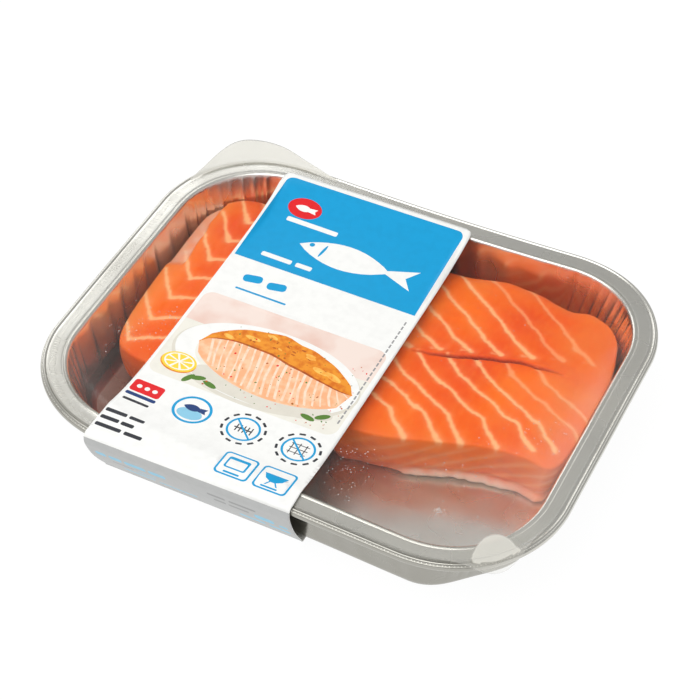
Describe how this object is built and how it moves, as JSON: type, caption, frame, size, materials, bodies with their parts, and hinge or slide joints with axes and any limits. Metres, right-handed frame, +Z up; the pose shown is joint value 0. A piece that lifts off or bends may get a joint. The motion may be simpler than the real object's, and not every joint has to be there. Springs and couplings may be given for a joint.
{
  "type": "packed salmon fillet",
  "caption": "Sealed foil tray of raw salmon portions under clear lid film, with a paper band label over the top, front and underside.",
  "frame": {"origin": "on the resting face, the underside of the label's bottom panel, below the middle of the tray", "axes": "+X along the tray's long side, -Y towards the label's side panel, +Z up"},
  "size_m": [0.1922, 0.1624, 0.0304],
  "materials": {
    "foil": "smooth rolled foil, satin",
    "film": "clear gloss lidding film",
    "salmon_left": "moist raw fish",
    "salmon_right": "moist raw fish",
    "paper": "printed adhesive paper, semi-matte"
  },
  "bodies": {
    "root": {"tray": "foil", "film_lid": "film", "fillet_left": "salmon_left", "fillet_right": "salmon_right", "label": "paper"}
  },
  "joints": []
}
